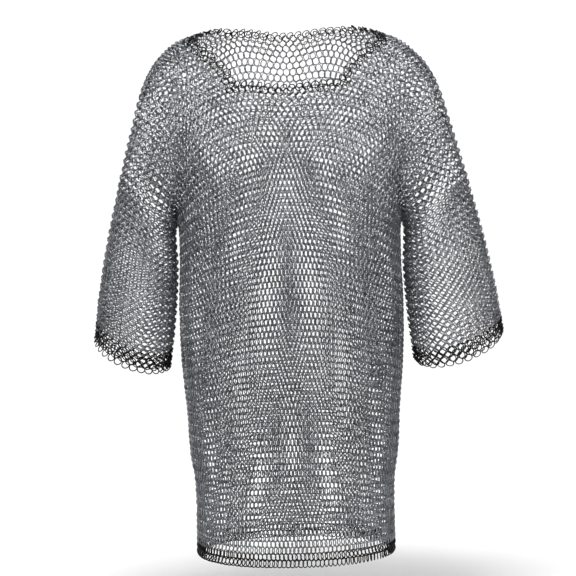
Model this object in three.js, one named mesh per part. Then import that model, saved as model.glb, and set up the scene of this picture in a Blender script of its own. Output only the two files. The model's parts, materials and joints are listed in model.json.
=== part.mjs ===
// A worn mail shirt: short tunic of linked steel rings with three-quarter sleeves.
// Millimetres, +Z up, +X to the viewer's right, the front faces -Y.
// The origin is the middle of the shoulder line, where the wearer's shoulders carry the shirt.
//
// Mail is knitted flat as a T: rows of rings run across the chest and on along the arms.
// Every place on the shirt is therefore named by a row and a column of rings.
// Row 0 is the shoulder ridge, rows count down the front as + and down the back as -.
// Column 0 is the middle of the chest, + is the viewer's right, and the sleeve starts at the side column.

import * as THREE from "three";
import { mergeVertices } from "three/addons/utils/BufferGeometryUtils.js";

// Driving dimensions
const wall = 5; // how thick a sheet of leaning rings is
const seam = 0.03; // how far each piece stays back from a seam, as a share of a row or column
const rim = 0.65; // how far the last rings reach past their centres, as a share of a row or column
const armpitTrim = 1; // rows and columns by which the pieces stop short of the point under the arm
const lineSpacing = { upperRows: 3.2, lowerRows: 5.6, columns: 3.1, sleeve: 2.4 }; // at most, in the net

// Rows and columns of rings
const underarm = 30; // the row that meets itself under the arm
const yokeEnd = 37; // where the yoke is joined to the body
const hemRow = 92;
const sideColumn = 32; // the body is knitted this far from the middle to each side
const cuffColumn = 52;
const neckHole = { column: 7, front: 13, back: -9 }; // first rings round the rectangular neck hole
const neckBand = { column: 8.3, front: 14.5, back: -10.5 }; // where the dark neck rings end
const cuffBand = 50.3; // where the dark cuff rings start
const hemBand = 90.6; // where the dark hem rings start

// Body, as level sections: half the width and how far front and back stand from the middle
const bodySections = [
  { z: -180, half: 165, front: 107, back: 111 },
  { z: -266, half: 165, front: 110, back: 112 },
  { z: -292, half: 162, front: 109, back: 110 },
  { z: -340, half: 162, front: 106, back: 104 },
  { z: -400, half: 164, front: 102, back: 97 },
  { z: -480, half: 162, front: 99, back: 92 },
  { z: -560, half: 155, front: 100, back: 92 },
  { z: -615, half: 152, front: 103, back: 95 },
  { z: -665, half: 145, front: 107, back: 99 },
  { z: -771, half: 144.5, front: 117, back: 108 },
];
const squareness = 2.35; // 2 would make the sections ellipses
const tightFront = 0.1; // the middle columns lie this much closer than the average

// Heights of the body rows, in the middle of the front and back and at the sides
const rowHeights = {
  front: { underarm: -208, hem: -769 },
  back: { underarm: -170, hem: -760 },
  sideDrop: 58, // how much lower the underarm row is at the side than in the middle of the front
  sideRise: 5, // how much higher the hem is there
  arch: { rows: 46, fade: 1.5, across: 1.3 }, // the rows run level again this many rows further down
};

// Yoke and shoulders: where every tenth row crosses some of the columns
const yoke = [
  {
    column: 0,
    back20: [0, 101, -77],
    back10: [0, 80, 10],
    ridge: [0, 16, 26],
    front10: [0, -66, -67],
    front20: [0, -95, -132],
  },
  {
    column: 7,
    back20: [65, 93, -76],
    back10: [79, 62, 15],
    ridge: [138, 0, 0],
    front10: [88, -47, -57],
    front20: [62, -83, -129],
  },
  {
    column: 14,
    back20: [115, 79, -98],
    back10: [132, 52, -20],
    ridge: [187, 2, -26],
    front10: [139, -38, -76],
    front20: [112, -76, -142],
  },
  {
    column: 20,
    back20: [152, 61, -140],
    back10: [178, 42, -80],
    ridge: [214.5, 3, -70],
    front10: [176, -22, -108],
    front20: [148, -56, -166],
  },
  {
    column: 26,
    back20: [172, 34, -202],
    back10: [206, 46, -166],
    ridge: [235, 1, -142],
    front10: [205, -40, -166],
    front20: [171, -28, -206],
  },
];

// Sleeves: each section is half an ellipse from the outer edge over the front to the underarm
const sleeveSections = [
  { column: 32, outer: [252, -212], front: [211, -56, -250], inner: [165, -266] },
  { column: 34, outer: [257, -235], front: [213, -57, -274], inner: [173, -284] },
  { column: 39, outer: [270, -293], front: [221, -57, -330], inner: [171, -341] },
  { column: 46, outer: [284.5, -373], front: [231, -53, -411], inner: [176, -416] },
  { column: 52, outer: [293, -441], front: [240, -48, -486], inner: [184, -482] },
];

// The viewer's right sleeve stands a little further out along its outer edge
const rightSleeve = { atShoulder: 4.5, perHeight: 0.038, fromColumn: 7, fullColumn: 20 };

const steel = { color: 0x8d9096, metalness: 0.9, roughness: 0.4 };
const blackened = { color: 0x1b1b1d, metalness: 0.6, roughness: 0.5 };

// Small helpers for points and smooth curves through table rows
const clamp = (value, low, high) => Math.min(high, Math.max(low, value));
const smooth = (value) => {
  const t = clamp(value, 0, 1);
  return t * t * (3 - 2 * t);
};

function slope(knots, places, k) {
  const before = Math.max(k - 1, 0);
  const after = Math.min(k + 1, knots.length - 1);
  return knots[after].map((value, n) => (value - knots[before][n]) / (places[after] - places[before]));
}

// A smooth curve through the knots, straight on beyond its ends
function through(knots, places, place) {
  const last = places.length - 1;
  if (place <= places[0]) {
    return slope(knots, places, 0).map((rate, n) => knots[0][n] + rate * (place - places[0]));
  }
  if (place >= places[last]) {
    return slope(knots, places, last).map((rate, n) => knots[last][n] + rate * (place - places[last]));
  }
  const k = places.findIndex((next) => next > place) - 1;
  const span = places[k + 1] - places[k];
  const t = (place - places[k]) / span;
  const start = slope(knots, places, k);
  const end = slope(knots, places, k + 1);
  const a = 2 * t ** 3 - 3 * t ** 2 + 1;
  const b = t ** 3 - 2 * t ** 2 + t;
  const c = 3 * t ** 2 - 2 * t ** 3;
  const d = t ** 3 - t ** 2;
  const next = knots[k + 1];
  return knots[k].map((value, n) => a * value + b * span * start[n] + c * next[n] + d * span * end[n]);
}

// Body sections run from the top down, so their heights are negated to rise
const sectionPlaces = bodySections.map((section) => -section.z);
const sectionSizes = bodySections.map(({ half, front, back }) => [half, front, back]);

// One quarter of a body section as a curve from the middle to the side, read by length
const quarterSteps = 40;
function quarterPoint(half, depth, share) {
  const outline = [];
  let length = 0;
  for (let k = 0; k <= quarterSteps; k += 1) {
    const turn = (k / quarterSteps) * (Math.PI / 2);
    const x = half * Math.sin(turn) ** (2 / squareness);
    const y = depth * Math.max(Math.cos(turn), 0) ** (2 / squareness);
    const last = outline[outline.length - 1];
    if (last) length += Math.hypot(x - last.x, y - last.y);
    outline.push({ x, y, length });
  }
  const wanted = share * length;
  const k = clamp(outline.findIndex((point) => point.length > wanted), 1, quarterSteps);
  const from = outline[k - 1];
  const to = outline[share >= 1 ? quarterSteps : k];
  const t = share >= 1 ? 1 : (wanted - from.length) / (to.length - from.length);
  return [from.x + (to.x - from.x) * t, from.y + (to.y - from.y) * t];
}

// Height of a body row, from the middle (across 0) to the side (across 1)
function rowHeight(row, across) {
  const { front, back, sideDrop, sideRise, arch } = rowHeights;
  const down = (Math.abs(row) - underarm) / (hemRow - underarm);
  const middle = (side) => side.underarm + (side.hem - side.underarm) * down;
  const left = clamp(1 - (Math.abs(row) - underarm) / arch.rows, 0, 1);
  const atSide = middle(front) - sideDrop * left ** arch.fade + sideRise * down;
  const toSide = Math.sin((Math.PI / 2) * across ** arch.across) ** 2;
  const here = middle(row > 0 ? front : back);
  return here + (atSide - here) * toSide;
}

function bodyPoint(row, column) {
  const across = Math.abs(column) / sideColumn;
  const z = rowHeight(row, across);
  const [half, front, back] = through(sectionSizes, sectionPlaces, -z);
  const share = across * (1 - tightFront) + tightFront * across ** 2;
  const [x, y] = quarterPoint(half, row > 0 ? front : back, share);
  return [x, row > 0 ? -y : y, z];
}

const sleevePlaces = sleeveSections.map((section) => section.column);
const sleeveKnots = sleeveSections.map(({ outer, front, inner }) => [...outer, ...front, ...inner]);

function sleevePoint(row, column) {
  const [ox, oz, fx, fy, fz, ix, iz] = through(sleeveKnots, sleevePlaces, column);
  const turn = (Math.PI * Math.abs(row)) / underarm;
  const along = Math.cos(turn);
  const out = Math.sin(turn);
  const x = (ox + ix) / 2 + ((ox - ix) / 2) * along + (fx - (ox + ix) / 2) * out;
  const z = (oz + iz) / 2 + ((oz - iz) / 2) * along + (fz - (oz + iz) / 2) * out;
  return [x, Math.sign(row) * fy * out, z];
}

const yokePlaces = [...yoke.map((line) => line.column), sideColumn];
const rowPlaces = [-38, -30, -20, -10, 0, 10, 20, 30, 38];

function yokeCurve(line, row) {
  const { column, back20, back10, ridge, front10, front20 } = line;
  const ends = (sign) => [bodyPoint(sign * 38, column), bodyPoint(sign * 30, column)];
  const [backLow, backUnder] = ends(-1);
  const [frontLow, frontUnder] = ends(1);
  const knots = [backLow, backUnder, back20, back10, ridge, front10, front20, frontUnder, frontLow];
  // Between two knots the rows lie evenly along the curve, so places on it are lengths
  const lengths = [0];
  for (let k = 1; k < knots.length; k += 1) {
    lengths.push(lengths[k - 1] + Math.hypot(...knots[k].map((value, n) => value - knots[k - 1][n])));
  }
  const k = clamp(rowPlaces.findIndex((next) => next > row), 1, rowPlaces.length - 1);
  const share = (row - rowPlaces[k - 1]) / (rowPlaces[k] - rowPlaces[k - 1]);
  return through(knots, lengths, lengths[k - 1] + share * (lengths[k] - lengths[k - 1]));
}

function yokePoint(row, column) {
  const at = (someRow) => {
    const knots = [...yoke.map((line) => yokeCurve(line, someRow)), sleevePoint(someRow, sideColumn)];
    // Columns left of the middle mirror the first ones, so that the curve runs level there
    const mirrored = [-yokePlaces[1], ...yokePlaces];
    const [x, y, z] = knots[1];
    return through([[-x, y, z], ...knots], mirrored, column);
  };
  const sign = row < 0 ? -1 : 1;
  const lowest = at(sign * underarm);
  const wanted = bodyPoint(sign * underarm, column);
  const share = smooth((Math.abs(row) - underarm / 2) / (underarm / 2));
  return at(row).map((value, n) => value + (wanted[n] - lowest[n]) * share);
}

// Body and yoke. Past the side column the cloth goes on into the sleeve, or round to the back
function tunicPoint(row, column) {
  if (Math.abs(row) >= underarm) {
    return column <= sideColumn ? bodyPoint(row, column) : bodyPoint(-row, 2 * sideColumn - column);
  }
  return column <= sideColumn ? yokePoint(row, column) : sleevePoint(row, column);
}

// Sleeve. Past the underarm row the cloth goes round to the other side of the arm
function armPoint(row, column) {
  const around = Math.abs(row) > underarm ? row - 2 * underarm * Math.sign(row) : row;
  return column >= sideColumn ? sleevePoint(around, column) : yokePoint(around, column);
}

// Both halves of the shirt from the viewer's right half, whose sleeve stands further out
function bothSides(halfPoint) {
  return (row, column) => {
    const [x, y, z] = halfPoint(row, Math.abs(column));
    if (column < 0) return new THREE.Vector3(-x, y, z);
    const { atShoulder, perHeight, fromColumn, fullColumn } = rightSleeve;
    const overShoulder = Math.abs(row) < underarm ? (1 + Math.cos((Math.PI * row) / underarm)) / 2 : 0;
    const towardsSleeve = smooth((column - fromColumn) / (fullColumn - fromColumn));
    return new THREE.Vector3(x + (atShoulder - perHeight * z) * overShoulder * towardsSleeve, y, z);
  };
}
const tunic = bothSides(tunicPoint);
const arm = bothSides(armPoint);

// The body below the arms as one loop: around counts columns over the front, then over the back
function bodyLoop(row, around) {
  return around <= sideColumn ? tunic(row, around) : tunic(-row, 2 * sideColumn - around);
}

// The outward direction, square to the rows and columns that cross here
function outward(place, row, column) {
  const step = 1;
  const alongRows = place(row + step, column).sub(place(row - step, column));
  const alongColumns = place(row, column + step).sub(place(row, column - step));
  return alongRows.cross(alongColumns).normalize();
}

// Lines of the net: evenly spaced between stops, where seams and edges run
function lines(stops, spacing) {
  return stops.slice(1).reduce((run, stop, k) => {
    const from = stops[k];
    const count = Math.ceil(Math.abs(stop - from) / spacing);
    const between = Array.from({ length: count }, (unused, n) => from + ((stop - from) * (n + 1)) / count);
    return [...run, ...between];
  }, [stops[0]]);
}

// A sheet of cloth over a net of row and column lines: two faces, with the edges closed.
// looped says which lines come back to their start, covers tells which cells belong to the piece,
// and trim moves single corners. Where a cell has no neighbour, its corners stand back by the seam.
function sheet({ place, rows, columns, looped = {}, covers = () => true, trim = (r, c) => [r, c] }) {
  const rowCount = looped.rows ? rows.length : rows.length - 1;
  const columnCount = looped.columns ? columns.length : columns.length - 1;
  const around = (k, count, isLooped) => (isLooped ? (k + count) % count : k);

  function covered(r, c) {
    const rr = around(r, rowCount, looped.rows);
    const cc = around(c, columnCount, looped.columns);
    if (rr < 0 || cc < 0 || rr >= rowCount || cc >= columnCount) return false;
    const nextRow = rows[rr + 1] ?? rows[rr];
    const nextColumn = columns[cc + 1] ?? columns[cc];
    return covers((rows[rr] + nextRow) / 2, (columns[cc] + nextColumn) / 2);
  }

  function cornerAt(r, c) {
    const [aboveLeft, above, left, here] = [
      [r - 1, c - 1],
      [r - 1, c],
      [r, c - 1],
      [r, c],
    ].map(([someRow, someColumn]) => Number(covered(someRow, someColumn)));
    const down = Math.sign(left + here - aboveLeft - above);
    const right = Math.sign(above + here - aboveLeft - left);
    const [row, column] = trim(rows[r] + down * seam, columns[c] + right * seam);
    const middle = place(row, column);
    const away = outward(place, row, column).multiplyScalar(wall / 2);
    return { outer: middle.clone().add(away), inner: middle.clone().sub(away) };
  }
  const corners = rows.map((row, r) => columns.map((column, c) => cornerAt(r, c)));
  const corner = (r, c) => corners[r % rows.length][c % columns.length];

  const points = [];
  function face(a, b, c, d) {
    for (const point of [a, b, c, a, c, d]) points.push(point.x, point.y, point.z);
  }
  // Edges that meet at a seam are split along the same diagonal, so that they stay parallel
  const edgeOn = (a, b) => face(a.outer, a.inner, b.inner, b.outer);
  const edgeBack = (a, b) => face(a.inner, b.inner, b.outer, a.outer);
  for (let r = 0; r < rowCount; r += 1) {
    for (let c = 0; c < columnCount; c += 1) {
      if (!covered(r, c)) continue;
      const [a, b, d, e] = [corner(r, c), corner(r, c + 1), corner(r + 1, c), corner(r + 1, c + 1)];
      face(a.outer, d.outer, e.outer, b.outer);
      face(a.inner, b.inner, e.inner, d.inner);
      if (!covered(r - 1, c)) edgeBack(b, a);
      if (!covered(r + 1, c)) edgeOn(d, e);
      if (!covered(r, c - 1)) edgeOn(a, d);
      if (!covered(r, c + 1)) edgeBack(e, b);
    }
  }
  const geometry = new THREE.BufferGeometry();
  geometry.setAttribute("position", new THREE.Float32BufferAttribute(points, 3));
  return mergeVertices(geometry);
}

const group = new THREE.Group();
function add(name, finish, net) {
  const mesh = new THREE.Mesh(sheet(net), new THREE.MeshStandardMaterial(finish));
  mesh.geometry.computeVertexNormals();
  mesh.name = name;
  group.add(mesh);
}

// Lines that neighbouring pieces share, so that their edges run along each other
const hole = { side: neckHole.column - rim, front: neckHole.front - rim, back: neckHole.back + rim };
const frontRows = lines([0, hole.front, neckBand.front, underarm], lineSpacing.upperRows);
const backRows = lines([-underarm, neckBand.back, hole.back, 0], lineSpacing.upperRows);
const halfColumns = lines([0, hole.side, neckBand.column, sideColumn], lineSpacing.columns);
const mirrored = (places) => places.map((place) => -place).reverse();
const tunicColumns = [...mirrored(halfColumns), ...halfColumns.slice(1)];
const inBandColumns = (column) => Math.abs(column) < neckBand.column;

// Keeps a piece back from the point under the arm, where front, back and sleeve all meet
function trimPanel(row, column) {
  if (Math.abs(row) !== underarm || Math.abs(column) < sideColumn - 2 * seam) return [row, column];
  return [row - armpitTrim * Math.sign(row), column - armpitTrim * Math.sign(column)];
}

// Yoke from the shoulder ridge to below the arms, round the neck, and body from there to the hem rings
function addPanel(name, rows, covers) {
  add(name, steel, { place: tunic, rows, columns: tunicColumns, covers, trim: trimPanel });
}
const underarmRows = lines([underarm, yokeEnd], lineSpacing.lowerRows).slice(1);
const lowerRows = lines([yokeEnd, hemBand], lineSpacing.lowerRows);
const belowNeckFront = (row, column) => row > neckBand.front || !inBandColumns(column);
const belowNeckBack = (row, column) => row < neckBand.back || !inBandColumns(column);
addPanel("yoke_front", [...frontRows, ...underarmRows], belowNeckFront);
addPanel("yoke_back", [...mirrored(underarmRows), ...backRows], belowNeckBack);
addPanel("body_front", lowerRows);
addPanel("body_back", mirrored(lowerRows));

// Dark rings round the neck
add("neck_edge", blackened, {
  place: tunic,
  rows: [...backRows, ...frontRows.slice(1)].filter((row) => row >= neckBand.back && row <= neckBand.front),
  columns: tunicColumns.filter((column) => Math.abs(column) <= neckBand.column),
  covers: (row, column) => Math.abs(column) > hole.side || row > hole.front || row < hole.back,
});

// Sleeves and their dark cuff rings, as tubes whose rows run along the arm
const armRows = [...backRows.slice(1), ...frontRows.slice(1)];
function trimTube(row, column) {
  const atArmpit = row === underarm && Math.abs(column) < sideColumn + armpitTrim;
  return [row, atArmpit ? (sideColumn + armpitTrim) * Math.sign(column) : column];
}
function armTube(columns) {
  return { place: arm, rows: armRows, columns, looped: { rows: true }, trim: trimTube };
}
const sleeveColumns = lines([sideColumn, cuffBand], lineSpacing.sleeve);
const cuffColumns = [cuffBand, cuffColumn + rim];
add("sleeve_left", steel, armTube(mirrored(sleeveColumns)));
add("sleeve_right", steel, armTube(sleeveColumns));
add("cuff_edge_left", blackened, armTube(mirrored(cuffColumns)));
add("cuff_edge_right", blackened, armTube(cuffColumns));

// Dark hem rings, in one loop round the body
add("hem_edge", blackened, {
  place: bodyLoop,
  rows: [hemBand, hemRow + rim],
  columns: [...tunicColumns, ...tunicColumns.map((column) => 2 * sideColumn + column).slice(1, -1)],
  looped: { columns: true },
});

export default group;
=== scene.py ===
# %% [markdown]
# # A worn mail shirt, ring by ring
# A mail shirt is about fourteen thousand small steel rings, each linked to four others.
# Modelling each ring by hand would be hopeless, and a bump map would never let the light through.
# Here one ring is modelled, and then it is placed by the same rows and columns that a maker counts.
# The shirt's form comes first, as a function from a row and a column to a place in space.

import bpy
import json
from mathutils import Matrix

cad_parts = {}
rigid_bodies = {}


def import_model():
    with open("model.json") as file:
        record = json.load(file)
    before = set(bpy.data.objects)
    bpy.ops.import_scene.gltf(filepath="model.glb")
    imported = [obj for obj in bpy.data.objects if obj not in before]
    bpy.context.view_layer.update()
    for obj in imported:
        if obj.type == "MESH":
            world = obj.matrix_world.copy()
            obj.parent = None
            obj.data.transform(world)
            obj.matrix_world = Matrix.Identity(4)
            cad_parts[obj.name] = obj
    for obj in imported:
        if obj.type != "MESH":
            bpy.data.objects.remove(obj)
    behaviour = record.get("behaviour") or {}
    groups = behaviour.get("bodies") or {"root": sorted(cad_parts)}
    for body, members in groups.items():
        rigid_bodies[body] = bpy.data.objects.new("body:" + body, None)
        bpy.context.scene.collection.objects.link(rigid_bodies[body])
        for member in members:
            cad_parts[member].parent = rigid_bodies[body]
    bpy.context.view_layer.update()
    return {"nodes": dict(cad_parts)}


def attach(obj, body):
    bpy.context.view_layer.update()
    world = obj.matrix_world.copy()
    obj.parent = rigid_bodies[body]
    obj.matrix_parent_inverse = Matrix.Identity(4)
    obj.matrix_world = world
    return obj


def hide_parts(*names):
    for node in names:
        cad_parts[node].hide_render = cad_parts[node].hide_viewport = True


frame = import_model()
print("nodes in the frame:", sorted(frame["nodes"]))

# %% Modules and units
import json
import math

import bmesh
import bpy
import numpy as np
from mathutils import Matrix, Vector

mm = 0.001
rng = np.random.default_rng(12)

# %% [markdown]
# ## How the mail is knitted
# Mail is knitted flat in the shape of a T, with rows of rings running across the chest and along the arms.
# Row 0 is the shoulder ridge. Rows count down the front as plus and down the back as minus.
# Column 0 is the middle of the chest, and every second row stands half a column aside.
# Counting in rings, as a maker does, is better than measuring, because every edge falls between two rings.

# %% Counts of rows and columns
underarm = 30
yoke_end = 37
hem_row = 92
side_column = 32
cuff_column = 52
neck_hole = {"column": 7, "front": 13, "back": -9}
neck_band = {"column": 8.3, "front": 14.5, "back": -10.5}
cuff_band = 50.3
hem_band = 90.6
print("rings round the body:", 4 * side_column, "and round a sleeve:", 2 * underarm)

# %% [markdown]
# ## The form of the body
# Under the arms the shirt hangs as a soft tube. Level sections tell how wide and deep it is at a few
# heights, and a smooth curve through them gives every height between. The sections are a little squarer
# than ellipses, as cloth is that hangs round a body. A cloth simulation could find such a form too,
# but not this exact one.

# %% Level sections of the body, in millimetres
body_sections = np.array([
    # height, half the width, front, back
    (-180, 165, 107, 111),
    (-266, 165, 110, 112),
    (-292, 162, 109, 110),
    (-340, 162, 106, 104),
    (-400, 164, 102, 97),
    (-480, 162, 99, 92),
    (-560, 155, 100, 92),
    (-615, 152, 103, 95),
    (-665, 145, 107, 99),
    (-771, 144.5, 117, 108),
]) * mm
squareness = 2.35
tight_front = 0.1
print(len(body_sections), "body sections, the widest", 2 * body_sections[:, 1].max(), "m wide")

# %% Smooth curves through the rows of a table
def smooth(value):
    t = np.clip(value, 0, 1)
    return t * t * (3 - 2 * t)


def through(knots, places, place):
    """A smooth curve through the knots at each place, straight on beyond its ends."""
    count = len(place)
    knots = np.broadcast_to(knots, (len(knots), count, knots.shape[-1]))
    places = np.broadcast_to(np.reshape(places, (len(knots), -1)), (len(knots), count))
    slopes = np.empty(knots.shape)
    slopes[1:-1] = (knots[2:] - knots[:-2]) / (places[2:] - places[:-2])[..., None]
    slopes[0] = (knots[1] - knots[0]) / (places[1] - places[0])[:, None]
    slopes[-1] = (knots[-1] - knots[-2]) / (places[-1] - places[-2])[:, None]
    k = np.clip((places <= place).sum(0) - 1, 0, len(knots) - 2)
    n = np.arange(count)
    span = (places[k + 1, n] - places[k, n])[:, None]
    t = (place - places[k, n])[:, None] / span
    inside = np.clip(t, 0, 1)
    curve = (
        (2 * inside**3 - 3 * inside**2 + 1) * knots[k, n]
        + (inside**3 - 2 * inside**2 + inside) * span * slopes[k, n]
        + (3 * inside**2 - 2 * inside**3) * knots[k + 1, n]
        + (inside**3 - inside**2) * span * slopes[k + 1, n]
    )
    return curve + np.where(t < 0, slopes[k, n], slopes[k + 1, n]) * (t - inside) * span


# %% One quarter of a body section, read by its length
def quarter_point(half, depth, share, steps=40):
    turn = np.linspace(0, math.pi / 2, steps + 1)
    x = half[:, None] * np.sin(turn) ** (2 / squareness)
    y = depth[:, None] * np.maximum(np.cos(turn), 0) ** (2 / squareness)
    pieces = np.hypot(np.diff(x), np.diff(y))
    length = np.concatenate([np.zeros((len(half), 1)), np.cumsum(pieces, 1)], 1)
    wanted = np.clip(share, 0, 1) * length[:, -1]
    n = np.arange(len(half))
    k = np.clip((length <= wanted[:, None]).sum(1), 1, steps)
    t = (wanted - length[n, k - 1]) / (length[n, k] - length[n, k - 1])
    return x[n, k - 1] + (x[n, k] - x[n, k - 1]) * t, y[n, k - 1] + (y[n, k] - y[n, k - 1]) * t


# %% [markdown]
# The rows do not run level. The sleeves pull the cloth up over the shoulders, so each row arches
# from the side seams to the middle of the chest, and the arch fades towards the waist.

# %% Height of a row, and the body's points
row_heights = {"front": (-208 * mm, -769 * mm), "back": (-170 * mm, -760 * mm)}
side_drop = 58 * mm
side_rise = 5 * mm
arch_rows, arch_fade, arch_across = 46, 1.5, 1.3


def row_height(row, across):
    down = (np.abs(row) - underarm) / (hem_row - underarm)
    front, back = (top + (low - top) * down for top, low in row_heights.values())
    left = np.clip(1 - (np.abs(row) - underarm) / arch_rows, 0, 1)
    at_side = front - side_drop * left**arch_fade + side_rise * down
    middle = np.where(row > 0, front, back)
    return middle + (at_side - middle) * np.sin(math.pi / 2 * across**arch_across) ** 2


def body_point(row, column):
    across = np.abs(column) / side_column
    z = row_height(row, across)
    sizes = through(body_sections[:, None, 1:], -body_sections[:, 0], -z)
    depth = np.where(row > 0, sizes[:, 1], sizes[:, 2])
    share = across * (1 - tight_front) + tight_front * across**2
    x, y = quarter_point(sizes[:, 0], depth, share)
    return np.stack([x, np.where(row > 0, -y, y), z], -1)


# %% [markdown]
# ## The sleeves
# Each sleeve is a straight tube of sixty rows that run along the arm. It hangs by its own weight,
# wider at the cuff than at the shoulder, so half an ellipse in five places tells its form.

# %% Sleeve sections, in millimetres
sleeve_sections = np.array([
    # column, outer x and z, front x and y and z, inner x and z
    (32, 252, -212, 211, -56, -250, 165, -266),
    (34, 257, -235, 213, -57, -274, 173, -284),
    (39, 270, -293, 221, -57, -330, 171, -341),
    (46, 284.5, -373, 231, -53, -411, 176, -416),
    (52, 293, -441, 240, -48, -486, 184, -482),
])
print(len(sleeve_sections), "sleeve sections")


def sleeve_point(row, column):
    found = through(sleeve_sections[:, None, 1:] * mm, sleeve_sections[:, 0], column)
    outer_x, outer_z, front_x, front_y, front_z, inner_x, inner_z = found.T
    turn = math.pi * np.abs(row) / underarm
    along, out = np.cos(turn), np.sin(turn)
    middle_x, middle_z = (outer_x + inner_x) / 2, (outer_z + inner_z) / 2
    x = middle_x + (outer_x - inner_x) / 2 * along + (front_x - middle_x) * out
    z = middle_z + (outer_z - inner_z) / 2 * along + (front_z - middle_z) * out
    return np.stack([x, np.sign(row) * front_y * out, z], -1)


# %% [markdown]
# ## The yoke
# Over the shoulders the T folds in both directions at once, so no section or tube describes it.
# A small net of points does: where every tenth row crosses a few columns.
# The curves through it meet the body and the sleeve at the underarm row and the side column.

# %% Where every tenth row crosses some of the columns, in millimetres
yoke = {
    # column: back 20, back 10, ridge, front 10, front 20
    0: ((0, 101, -77), (0, 80, 10), (0, 16, 26), (0, -66, -67), (0, -95, -132)),
    7: ((65, 93, -76), (79, 62, 15), (138, 0, 0), (88, -47, -57), (62, -83, -129)),
    14: ((115, 79, -98), (132, 52, -20), (187, 2, -26), (139, -38, -76), (112, -76, -142)),
    20: ((152, 61, -140), (178, 42, -80), (214.5, 3, -70), (176, -22, -108), (148, -56, -166)),
    26: ((172, 34, -202), (206, 46, -166), (235, 1, -142), (205, -40, -166), (171, -28, -206)),
}
row_places = np.array([-38, -30, -20, -10, 0, 10, 20, 30, 38])
print(len(yoke), "columns of the yoke, from", min(yoke), "to", max(yoke))


def yoke_curve(column, row):
    """One column of the yoke. Between two knots its rows lie evenly along the curve."""
    rows = row_places[[0, 1, -2, -1]].astype(float)
    ends = body_point(rows, np.full(4, float(column)))
    knots = np.array([ends[0], ends[1], *(np.array(yoke[column]) * mm), ends[2], ends[3]])
    lengths = np.concatenate([[0], np.cumsum(np.linalg.norm(np.diff(knots, axis=0), axis=1))])
    return through(knots[:, None], lengths, np.interp(row, row_places, lengths))


def yoke_point(row, column):
    def at(some_row):
        curves = [yoke_curve(station, some_row) for station in yoke]
        curves.append(sleeve_point(some_row, np.full(len(some_row), float(side_column))))
        mirrored = curves[1] * (-1, 1, 1)
        stations = [*yoke, side_column]
        return through(np.array([mirrored, *curves]), [-stations[1], *stations], column)

    sign = np.where(row < 0, -1.0, 1.0)
    lowest = at(sign * underarm)
    wanted = body_point(sign * underarm, column)
    share = smooth((np.abs(row) - underarm / 2) / (underarm / 2))
    return at(row) + (wanted - lowest) * share[:, None]


# %% [markdown]
# ## The whole shirt as one function
# Both halves are alike, apart from the sleeve at +X, which hangs a little further out.
# The outward direction at a ring is square to the row and to the column that cross there.

# %% Any place on the shirt
outer_shift = {"at_shoulder": 4.5 * mm, "per_height": 0.038, "from_column": 7, "full_column": 20}


def shirt_point(row, column, in_sleeve):
    side = np.where(column < 0, -1, 1)
    column = np.abs(column)
    if in_sleeve:
        row = np.where(np.abs(row) > underarm, row - 2 * underarm * np.sign(row), row)
        on_body = np.zeros(len(row), bool)
    else:
        on_body = np.abs(row) >= underarm
    wraps = on_body & (column > side_column)
    inner_column = np.minimum(column, side_column)
    body_column = np.where(wraps, 2 * side_column - column, inner_column)
    body = body_point(np.where(wraps, -row, row), body_column)
    in_tube = (column > side_column)[:, None]
    upper = np.where(in_tube, sleeve_point(row, column), yoke_point(row, inner_column))
    points = np.where(on_body[:, None], body, upper)
    over_shoulder = np.where(np.abs(row) < underarm, (1 + np.cos(math.pi * row / underarm)) / 2, 0)
    span = outer_shift["full_column"] - outer_shift["from_column"]
    towards_sleeve = smooth((column - outer_shift["from_column"]) / span)
    shift = (outer_shift["at_shoulder"] - outer_shift["per_height"] * points[:, 2]) * over_shoulder
    points[:, 0] += np.where(side > 0, shift * towards_sleeve, 0)
    points[:, 0] *= side
    return points


def unit(vectors):
    return vectors / np.linalg.norm(vectors, axis=1, keepdims=True)


def shirt_frame(row, column, in_sleeve, step=0.5):
    """Places, the directions along the rows, down the columns and outward, and the ring spacing."""
    down = shirt_point(row + step, column, in_sleeve) - shirt_point(row - step, column, in_sleeve)
    along = shirt_point(row, column + step, in_sleeve) - shirt_point(row, column - step, in_sleeve)
    outward = unit(np.cross(down, along))
    spacing = np.linalg.norm(along, axis=1)
    return shirt_point(row, column, in_sleeve), unit(along), unit(down), outward, spacing


# %% [markdown]
# ## Which rings belong to which piece
# Every ring is made once. Even rows have rings on whole columns and odd rows on half columns.
# The body is split into bands only to keep each mesh a handy size, because mail itself has no seams.

# %% Count the rings of each piece
def net(rows, first_column, last_column):
    """Row and column of every ring in a block, with odd rows half a column aside."""
    found = []
    for row in rows:
        aside = 0.5 * (row % 2)
        columns = np.arange(math.ceil(first_column - aside), math.floor(last_column - aside) + 1) + aside
        found.append(np.stack([np.full(len(columns), float(row)), columns], 1))
    return np.concatenate(found)


def tunic_rings(low, high):
    """Rings of the T's middle from row low to row high. Front and back share the side column."""
    rings = net(range(low, high + 1), -side_column, side_column)
    row, column = rings.T
    upper = np.abs(row) <= underarm
    shared = (row > underarm) & (column == side_column) | (row < -underarm) & (column == -side_column)
    in_hole = (np.abs(column) < neck_hole["column"]) & (row < neck_hole["front"]) & (row > neck_hole["back"])
    return rings[~(upper & (np.abs(column) == side_column)) & ~shared & ~in_hole]


def in_neck_band(rings):
    row, column = rings.T
    band = neck_band
    return (np.abs(column) < band["column"]) & (row < band["front"]) & (row > band["back"])


def sleeve_rings(side):
    rings = net(range(1 - underarm, underarm + 1), side_column, cuff_column)
    return rings * (1, side)


def in_cuff_band(rings):
    return np.abs(rings[:, 1]) > cuff_band


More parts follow.
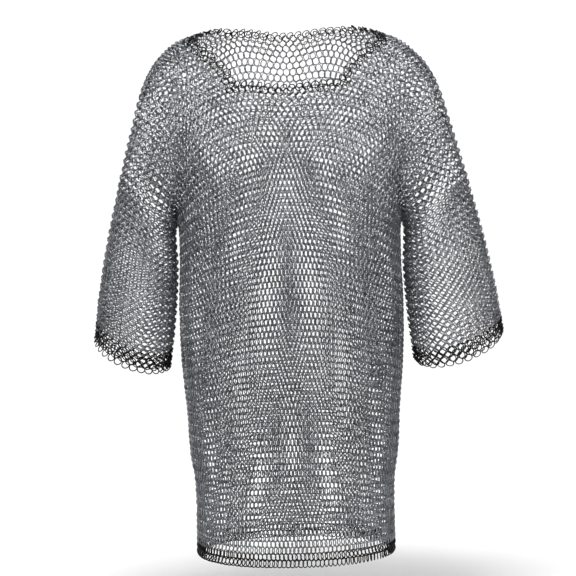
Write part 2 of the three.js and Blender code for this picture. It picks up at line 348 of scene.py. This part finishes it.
# %% The pieces and the solids that they stand for
hem_start = math.ceil(hem_band)
upper_back = tunic_rings(-yoke_end, -1)
upper_front = tunic_rings(0, yoke_end)
neck = np.concatenate([upper_back[in_neck_band(upper_back)], upper_front[in_neck_band(upper_front)]])
left, right = sleeve_rings(-1), sleeve_rings(1)
waist_row = 63
blocks = {
    # piece: rings, whether they lie in a sleeve, nodes that the piece stands for, material slot
    "mail_yoke_front": (upper_front[~in_neck_band(upper_front)], False, ["yoke_front"], "steel_rings"),
    "mail_yoke_back": (upper_back[~in_neck_band(upper_back)], False, ["yoke_back"], "steel_rings"),
    "mail_waist_front": (tunic_rings(yoke_end + 1, waist_row), False, ["body_front"], "steel_rings"),
    "mail_waist_back": (tunic_rings(-waist_row, -yoke_end - 1), False, ["body_back"], "steel_rings"),
    "mail_skirt_front": (tunic_rings(waist_row + 1, hem_start - 1), False, ["body_front"], "steel_rings"),
    "mail_skirt_back": (tunic_rings(1 - hem_start, -waist_row - 1), False, ["body_back"], "steel_rings"),
    "mail_sleeve_left": (left[~in_cuff_band(left)], True, ["sleeve_left"], "steel_rings"),
    "mail_sleeve_right": (right[~in_cuff_band(right)], True, ["sleeve_right"], "steel_rings"),
    "dark_neck": (neck, False, ["neck_edge"], "dark_rings"),
    "dark_cuff_left": (left[in_cuff_band(left)], True, ["cuff_edge_left"], "dark_rings"),
    "dark_cuff_right": (right[in_cuff_band(right)], True, ["cuff_edge_right"], "dark_rings"),
    "dark_hem": (
        np.concatenate([tunic_rings(hem_start, hem_row), tunic_rings(-hem_row, -hem_start)]),
        False,
        ["hem_edge"],
        "dark_rings",
    ),
}
ring_total = sum(len(rings) for rings, *_ in blocks.values())
print("rings:", ring_total, {name: len(rings) for name, (rings, *_) in blocks.items()})

# %% [markdown]
# ## One ring
# A ring is round steel wire bent into a circle and closed. A torus would do, and here it is spun:
# a small wire section is swept round the ring's axis. Because it is repeated thousands of times,
# it has as few faces as still look round at arm's length, and smooth shading hides its corners.

# %% Spin a ring from a wire section
wire = 1.6 * mm
ring_inside = 9.8 * mm
ring_radius = (ring_inside + wire) / 2
steel_density = 7850


def make_ring(name, steps, sides):
    """A ring whose cornered section looks as wide as the round wire, seen from any side."""
    section = bmesh.new()
    corner = math.pi * wire / 2 / (sides * math.sin(math.pi / sides))
    bmesh.ops.create_circle(section, segments=sides, radius=corner)
    bmesh.ops.rotate(section, verts=section.verts, matrix=Matrix.Rotation(math.pi / 2, 3, "X"))
    bmesh.ops.translate(section, verts=section.verts, vec=(ring_radius, 0, 0))
    bmesh.ops.spin(
        section,
        geom=section.verts[:] + section.edges[:],
        axis=(0, 0, 1),
        angle=2 * math.pi,
        steps=steps,
        use_merge=True,
    )
    bmesh.ops.remove_doubles(section, verts=section.verts, dist=wire / 100)
    bmesh.ops.recalc_face_normals(section, faces=section.faces)
    mesh = bpy.data.meshes.new(name)
    section.to_mesh(mesh)
    section.free()
    mesh.shade_smooth()
    return bpy.data.objects.new(name, mesh)


ring_shapes = {
    "steel_rings": make_ring("steel_ring", steps=11, sides=3),
    "dark_rings": make_ring("dark_ring", steps=14, sides=4),
}
ring_mass = 2 * math.pi * ring_radius * math.pi * (wire / 2) ** 2 * steel_density
print(f"one ring weighs {ring_mass * 1000:.3f} g, and all of them {ring_mass * ring_total:.2f} kg")

# %% [markdown]
# ## How the rings lean
# Linked rings cannot lie flat. All rings of one row lean one way along the row, and those of the next row
# lean the other way, which gives mail its grain. Where the net is closed they stand steeper,
# and where it is pulled wide along the rows they lie flatter. No two rings lean quite alike.

# %% Lean and jitter of every ring
closed_spacing, open_spacing = 6 * mm, 8.5 * mm
closed_lean, open_lean = math.radians(45), math.radians(29)
lean_jitter = math.radians(2.5)
shift_jitter = 0.15 * mm


def ring_axes(rings, in_sleeve):
    row, column = rings.T
    places, along, down, outward, spacing = shirt_frame(row, column, in_sleeve)
    openness = smooth((spacing - closed_spacing) / (open_spacing - closed_spacing))
    lean = closed_lean + (open_lean - closed_lean) * openness + rng.normal(0, lean_jitter, len(row))
    lean *= np.where(row % 2 == 0, 1, -1)
    nod = rng.normal(0, lean_jitter, len(row))
    axes = outward * np.cos(lean)[:, None] + along * np.sin(lean)[:, None] + down * np.sin(nod)[:, None]
    places = places + rng.normal(0, shift_jitter, places.shape)
    return places, unit(axes)


# %% [markdown]
# ## Ring after ring, by Geometry Nodes
# An array modifier can only repeat along a line, and a loop of copies would make thousands of objects.
# A mesh of points with the ring's axis stored on each point, and one node group that puts a ring on every
# point and makes it real, does the whole shirt in seconds.

# %% The node group that places rings
def ring_group(shape):
    group = bpy.data.node_groups.new(f"{shape.name}_on_points", "GeometryNodeTree")
    group.interface.new_socket("Geometry", in_out="INPUT", socket_type="NodeSocketGeometry")
    group.interface.new_socket("Geometry", in_out="OUTPUT", socket_type="NodeSocketGeometry")
    nodes, links = group.nodes, group.links
    points, result = nodes.new("NodeGroupInput"), nodes.new("NodeGroupOutput")
    axis = nodes.new("GeometryNodeInputNamedAttribute")
    axis.data_type = "FLOAT_VECTOR"
    axis.inputs["Name"].default_value = "ring_axis"
    turn = nodes.new("FunctionNodeAlignRotationToVector")
    turn.axis = "Z"
    ring = nodes.new("GeometryNodeObjectInfo")
    ring.inputs["Object"].default_value = shape
    place = nodes.new("GeometryNodeInstanceOnPoints")
    real = nodes.new("GeometryNodeRealizeInstances")
    links.new(axis.outputs["Attribute"], turn.inputs["Vector"])
    links.new(points.outputs["Geometry"], place.inputs["Points"])
    links.new(ring.outputs["Geometry"], place.inputs["Instance"])
    links.new(turn.outputs["Rotation"], place.inputs["Rotation"])
    links.new(place.outputs["Instances"], real.inputs["Geometry"])
    links.new(real.outputs["Geometry"], result.inputs["Geometry"])
    return group


ring_groups = {slot: ring_group(shape) for slot, shape in ring_shapes.items()}


def knit(name, rings, in_sleeve, slot):
    """One piece of mail: a point for each ring, and a real ring on every point."""
    places, axes = ring_axes(rings, in_sleeve)
    cloud = bpy.data.meshes.new(name)
    cloud.vertices.add(len(places))
    cloud.vertices.foreach_set("co", places.ravel())
    cloud.attributes.new("ring_axis", "FLOAT_VECTOR", "POINT").data.foreach_set("vector", axes.ravel())
    tone = rng.normal(0, 1, len(places))
    cloud.attributes.new("ring_tone", "FLOAT", "POINT").data.foreach_set("value", tone)
    piece = bpy.data.objects.new(name, cloud)
    bpy.context.collection.objects.link(piece)
    modifier = piece.modifiers.new("rings", "NODES")
    modifier.node_group = ring_groups[slot]
    depsgraph = bpy.context.evaluated_depsgraph_get()
    mesh = bpy.data.meshes.new_from_object(
        piece.evaluated_get(depsgraph), preserve_all_data_layers=True, depsgraph=depsgraph
    )
    piece.modifiers.clear()
    piece.data = mesh
    bpy.data.meshes.remove(cloud)
    mesh.name = name
    mesh.materials.clear()
    mesh.materials.append(finishes[slot])
    mesh.shade_smooth()
    return piece


# %% [markdown]
# ## Shader maths as plain expressions
# A finish is easier to read as a sum than as a picture of nodes, so one small class wraps a socket
# and lets Python's own operators add the nodes.

# %% A socket that can be added and multiplied
object_place, attribute_number, mixed_colour = 3, 2, 2


class Finish:
    """A node material under construction."""

    def __init__(self, name):
        self.material = bpy.data.materials.new(name)
        self.material.use_nodes = True
        self.tree = self.material.node_tree
        self.shader = self.tree.nodes["Principled BSDF"]

    def node(self, kind, output=0, settings=None, **sockets):
        """Any node, with its settings first and then the values or links of its sockets."""
        made = self.tree.nodes.new(kind)
        for key, value in (settings or {}).items():
            setattr(made, key, value)
        for key, value in sockets.items():
            name = key.replace("_", " ")
            socket = made.inputs[int(key[1:])] if key[1:].isdigit() else made.inputs[name]
            if isinstance(value, Value):
                self.tree.links.new(value.socket, socket)
            else:
                socket.default_value = value
        return Value(self, made.outputs[output])

    def feed(self, name, value):
        self.tree.links.new(value.socket, self.shader.inputs[name])

    def blend(self, factor, first, second):
        """Two colours mixed by a factor from 0 to 1."""
        settings = {"data_type": "RGBA"}
        return self.node("ShaderNodeMix", mixed_colour, settings, i0=factor, i6=first, i7=second)


class Value:
    """One output socket, with arithmetic that adds Math nodes."""

    def __init__(self, finish, socket):
        self.finish, self.socket = finish, socket

    def math(self, operation, first, second):
        return self.finish.node("ShaderNodeMath", 0, {"operation": operation}, i0=first, i1=second)

    def __add__(self, other):
        return self.math("ADD", self, other)

    def __mul__(self, other):
        return self.math("MULTIPLY", self, other)

    __radd__ = __add__
    __rmul__ = __mul__

    def clipped(self, low, high):
        settings = {"clamp": True}
        return self.finish.node(
            "ShaderNodeMapRange", 0, settings, i0=self, i1=low, i2=high, i3=0.0, i4=1.0
        )


# %% [markdown]
# ## Zinc-grey steel wire
# The rings are bright wire with a thin grey zinc skin: a metal with a satin, slightly cloudy surface.
# Each ring took the plating slightly differently, so the tone stored on the rings varies the grey and
# the roughness from ring to ring, and a fine noise clouds the skin along the wire.

# %% Steel finish
def steel_finish():
    steel = Finish("zinc_steel")
    tone = steel.node("ShaderNodeAttribute", attribute_number, {"attribute_name": "ring_tone"})
    place = steel.node("ShaderNodeTexCoord", object_place)
    clouds = steel.node("ShaderNodeTexNoise", 0, Vector=place, Scale=110.0, Detail=2.0)
    patches = steel.node("ShaderNodeTexNoise", 0, Vector=place, Scale=9.0, Detail=2.0)
    shade = (tone * 0.2 + clouds * 0.6 + patches * 0.8).clipped(0.1, 1.3)
    dull_grey, bright_grey = (0.1, 0.106, 0.116, 1), (0.36, 0.37, 0.39, 1)
    steel.feed("Base Color", steel.blend(shade, dull_grey, bright_grey))
    steel.feed("Roughness", 0.3 + clouds * 0.12 + tone * 0.02)
    steel.shader.inputs["Metallic"].default_value = 1.0
    return steel.material


# %% [markdown]
# ## Blackened wire
# The border rings are the same wire, blackened. The black is a thin oxide with hardly any shine,
# and it lets some brown through where rings rub.

# %% Dark finish
def dark_finish():
    dark = Finish("blackened_steel")
    tone = dark.node("ShaderNodeAttribute", attribute_number, {"attribute_name": "ring_tone"})
    place = dark.node("ShaderNodeTexCoord", object_place)
    rubbed = dark.node("ShaderNodeTexNoise", 0, Vector=place, Scale=240.0, Detail=3.0)
    shade = (rubbed * 1.1 + tone * 0.05).clipped(0.5, 1.0)
    black, rubbed_brown = (0.003, 0.003, 0.0035, 1), (0.016, 0.015, 0.014, 1)
    dark.feed("Base Color", dark.blend(shade, black, rubbed_brown))
    dark.feed("Roughness", 0.36 + rubbed * 0.16)
    dark.shader.inputs["Metallic"].default_value = 0.0
    dark.shader.inputs["Specular IOR Level"].default_value = 0.08
    return dark.material


finishes = {"steel_rings": steel_finish(), "dark_rings": dark_finish()}
print("finishes:", [finish.name for finish in finishes.values()])

# %% [markdown]
# ## Knit the shirt
# Flat on a table, a ring takes up 7.2 by 8.6 millimetres of mail, so the count of rings gives
# the size that each piece has before it is worn.

# %% Make every piece
flat_column, flat_row = 7.2 * mm, 8.6 * mm
triangle_total = 0
for name, (rings, in_sleeve, nodes, slot) in blocks.items():
    piece = knit(name, rings, in_sleeve, slot)
    rows = rings[:, 0]
    row_count = len(np.unique(rows))
    flat_size = (len(rings) / row_count * flat_column, row_count * flat_row)
    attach(piece, "root")
    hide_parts(*nodes)
    triangles = sum(len(face.vertices) - 2 for face in piece.data.polygons)
    triangle_total += triangles
    flat_words = " m x ".join(f"{side:.3f}" for side in flat_size)
    print(f"{name}: {len(rings)} rings, {triangles} triangles, flat {flat_words} m")
print("triangles in all:", triangle_total)
for shape in ring_shapes.values():
    bpy.data.objects.remove(shape)

# %% [markdown]
# ## Studio
# A product picture: a pale round studio with no ceiling, so that soft light falls in from above
# and the walls pass some of it on from every side. Wire that runs across catches that light along
# its upper side. A box would show its corners, so one profile of floor, bend and wall is spun
# round the shirt instead.

# %% Floor and wall in one round
floor_height = -0.86
studio_radius, studio_rise = 4.5, 5.0


def make_studio():
    bend, bend_steps, round_steps = 0.9, 12, 96
    room = bmesh.new()
    middle = room.verts.new((0, 0, floor_height))
    moved = bmesh.ops.extrude_vert_indiv(room, verts=[middle])["verts"]
    bmesh.ops.translate(room, verts=moved, vec=(studio_radius - bend, 0, 0))
    bent = bmesh.ops.spin(
        room,
        geom=moved,
        cent=(studio_radius - bend, 0, floor_height + bend),
        axis=(0, 1, 0),
        angle=-math.pi / 2,
        steps=bend_steps,
    )["geom_last"]
    top = [item for item in bent if isinstance(item, bmesh.types.BMVert)]
    moved = bmesh.ops.extrude_vert_indiv(room, verts=top)["verts"]
    bmesh.ops.translate(room, verts=moved, vec=(0, 0, studio_rise))
    bmesh.ops.spin(
        room,
        geom=room.verts[:] + room.edges[:],
        axis=(0, 0, 1),
        angle=2 * math.pi,
        steps=round_steps,
        use_merge=True,
    )
    bmesh.ops.remove_doubles(room, verts=room.verts, dist=mm)
    bmesh.ops.recalc_face_normals(room, faces=room.faces)
    bmesh.ops.reverse_faces(room, faces=room.faces)
    mesh = bpy.data.meshes.new("studio")
    room.to_mesh(mesh)
    room.free()
    mesh.shade_smooth()
    studio = bpy.data.objects.new("studio", mesh)
    bpy.context.collection.objects.link(studio)
    return studio


studio = make_studio()
paper = Finish("pale_paper")
paper_grey = 0.66
paper.shader.inputs["Base Color"].default_value = (paper_grey, paper_grey, paper_grey, 1)
paper.shader.inputs["Roughness"].default_value = 0.9
studio.data.materials.append(paper.material)
print(f"round studio {2 * studio_radius:.1f} m wide, its floor {-floor_height:.2f} m below the shoulders")

# %% [markdown]
# A large lamp in front and above is the key, and four more wash the wall, so that the paper turns white.
# The sky fills the shadows a little. A brighter wall would eat the thin wires that stand against it.

# %% Soft light
world = bpy.data.worlds.new("studio_sky")
bpy.context.scene.world = world
world.use_nodes = True
sky = world.node_tree.nodes["Background"]
sky.inputs["Color"].default_value = (1, 1, 1, 1)
sky.inputs["Strength"].default_value = 0.3


def soft_light(name, place, aim, size, power):
    light = bpy.data.lights.new(name, "AREA")
    light.shape = "RECTANGLE"
    light.size, light.size_y = size
    light.energy = power
    lamp = bpy.data.objects.new(name, light)
    lamp.location = place
    lamp.rotation_euler = (Vector(aim) - Vector(place)).to_track_quat("-Z", "Y").to_euler()
    lamp.visible_camera = False
    bpy.context.collection.objects.link(lamp)


middle_of_shirt = (0, 0, -0.38)
soft_light("key", (-0.2, -1.3, 2.1), middle_of_shirt, (1.5, 0.9), 130)
lamp_radius, lamp_height = 1.6, 2.6
aim_radius, aim_height = 4.3, 0.2
wall_lamps = {
    # side of the shirt: turn in degrees, power in watts
    "behind": (0, 130),
    "left": (90, 20),
    "front": (180, 20),
    "right": (270, 20),
}
for name, (turn, power) in wall_lamps.items():
    way = Vector((-math.sin(math.radians(turn)), math.cos(math.radians(turn)), 0))
    lamp_place = way * lamp_radius + Vector((0, 0, lamp_height))
    lamp_aim = way * aim_radius + Vector((0, 0, aim_height))
    soft_light(f"wall_{name}", lamp_place, lamp_aim, (3.0, 0.8), power)
print("lamps:", 1 + len(wall_lamps))

# %% [markdown]
# ## Camera
# The camera stands level with the waist, two and a third metres away, and is turned by one degree.

# %% Camera
camera_distance = 2.35
camera_side, camera_height = -4.6 * mm, -376 * mm
photo_width, pixel_size = 576, 1.5 * mm
frame_width = photo_width * pixel_size
roll = 0.0203
lens = bpy.data.cameras.new("camera")
lens.sensor_fit = "HORIZONTAL"
lens.angle = 2 * math.atan(frame_width / 2 / camera_distance)
camera = bpy.data.objects.new("camera", lens)
right_way = Vector((1, 0, -roll)).normalized()
back_way = Vector((0, -1, 0))
up_way = back_way.cross(right_way)
camera.matrix_world = Matrix.Translation((camera_side, -camera_distance, camera_height)) @ Matrix(
    (right_way, up_way, back_way)
).transposed().to_4x4()
bpy.context.collection.objects.link(camera)
bpy.context.scene.camera = camera
bpy.context.scene.view_settings.view_transform = "Standard"
print(f"camera takes in {frame_width:.3f} m at the middle of the shirt")

# %% [markdown]
# ## Last update
# The rings have to fill the same box as the measured solids, because the finish must not resize the shirt.
# The view layer is brought up to date once more.

# %% Update the view layer
bpy.context.view_layer.update()
